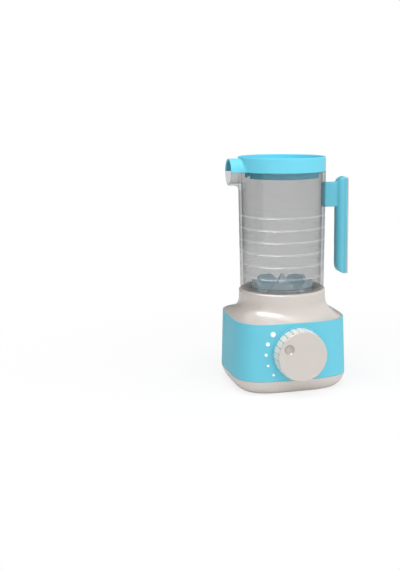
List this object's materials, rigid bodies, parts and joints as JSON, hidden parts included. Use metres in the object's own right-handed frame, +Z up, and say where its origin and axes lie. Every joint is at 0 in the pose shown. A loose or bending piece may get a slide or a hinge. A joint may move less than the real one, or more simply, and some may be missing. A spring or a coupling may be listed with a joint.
{
  "type": "toy blender",
  "caption": "Toy blender with a dial-driven rotor, clear lift-off jug with hook handle and lid with pouring spout, on a rounded square base.",
  "frame": {"origin": "on the drive axis, at the flat underside of the base", "axes": "+Z up along the jug, -Y towards the dial at the front, +X towards the handle, -X towards the spout"},
  "size_m": [0.1275, 0.1266, 0.23],
  "materials": {
    "pale_plastic": "satin moulded plastic, warm off-white",
    "blue_plastic": "satin moulded plastic, light blue",
    "white_print": "white inlaid dots",
    "clear_plastic": "smoke-clear moulded plastic, polished",
    "nylon": "natural moulded nylon",
    "bronze": "sintered bush, satin",
    "steel": "zinc-plated steel"
  },
  "bodies": {
    "base": {"bottom_housing": "pale_plastic", "band_shell": "blue_plastic", "top_cover": "pale_plastic", "coupling_cup": "pale_plastic", "speed_dots": "white_print", "base_screws": "steel", "cup_screws": "steel", "gear_frame": "nylon", "frame_screws": "steel", "dial_bush": "bronze", "frame_bush": "bronze", "lower_bush": "bronze", "upper_bush": "bronze"},
    "dial": {"dial_knob": "pale_plastic", "dial_shaft": "steel", "crown_gear": "nylon", "gear_screw": "steel"},
    "drive": {"drive_shaft": "steel", "drive_pinion": "nylon", "shaft_clip": "steel", "drive_coupler": "nylon"},
    "jug": {"jug_body": "clear_plastic", "rotor_bush": "bronze", "handle_grip": "blue_plastic", "handle_back": "pale_plastic", "handle_screws": "steel"},
    "rotor": {"blade_rotor": "blue_plastic", "rotor_shaft": "steel", "driven_coupler": "nylon", "rotor_screw": "steel"},
    "lid": {"lid": "blue_plastic"}
  },
  "joints": [
    {"name": "dial_turn", "type": "hinge", "parent": "base", "child": "dial", "pos_m": [0, -0.056, 0.0417], "axis": [0, -1, 0], "continuous": true},
    {"name": "drive_spin", "type": "hinge", "parent": "base", "child": "drive", "pos_m": [0, 0, 0.0627], "axis": [0, 0, 1], "continuous": true},
    {"name": "jug_lift", "type": "slide", "parent": "base", "child": "jug", "axis": [0, 0, 1], "range_m": [0, 0.06]},
    {"name": "rotor_spin", "type": "hinge", "parent": "jug", "child": "rotor", "pos_m": [0, 0, 0.0958], "axis": [0, 0, 1], "continuous": true},
    {"name": "lid_lift", "type": "slide", "parent": "jug", "child": "lid", "axis": [0, 0, 1], "range_m": [0, 0.05]}
  ],
  "couplings": [
    {"joint": "drive_spin", "follows": "dial_turn", "ratio": -2.8},
    {"joint": "rotor_spin", "follows": "dial_turn", "ratio": -2.8}
  ]
}
